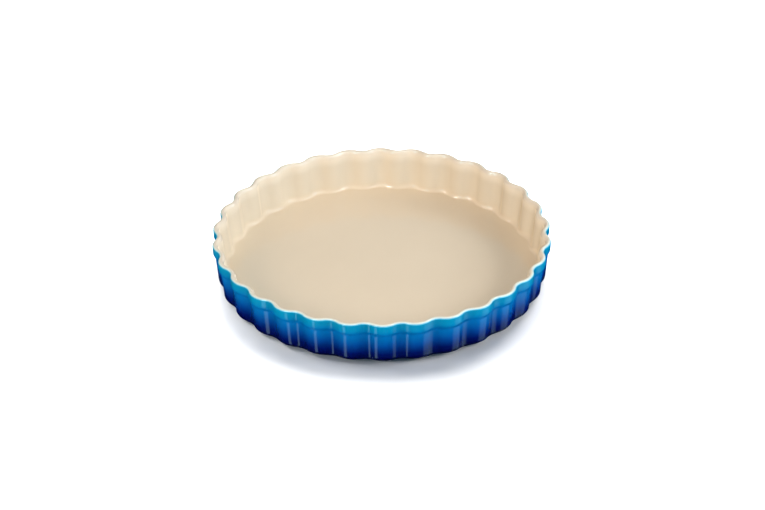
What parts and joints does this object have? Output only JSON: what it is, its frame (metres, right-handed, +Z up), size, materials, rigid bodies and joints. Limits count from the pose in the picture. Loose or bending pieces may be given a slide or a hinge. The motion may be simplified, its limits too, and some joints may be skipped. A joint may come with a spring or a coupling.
{
  "type": "fluted quiche dish",
  "caption": "Round shallow fluted baking dish in glazed stoneware, with a banded rim, a flat floor with a rounded corner and a bare foot ring.",
  "frame": {"origin": "centre of the plane that the dish stands on, under the foot ring", "axes": "+Z up through the open top; -Y and +Y each meet the crest of a flute, +X and -X each meet a crease"},
  "size_m": [0.2786, 0.28, 0.04],
  "materials": {
    "blue_glazed_stoneware": "glossy glaze shading from light blue at the rim to navy at the base, pale at the lip, bare clay at the foot ring",
    "cream_glaze": "glossy cream glaze"
  },
  "bodies": {
    "root": {"stoneware_body": "blue_glazed_stoneware", "interior_glaze": "cream_glaze"}
  },
  "joints": []
}
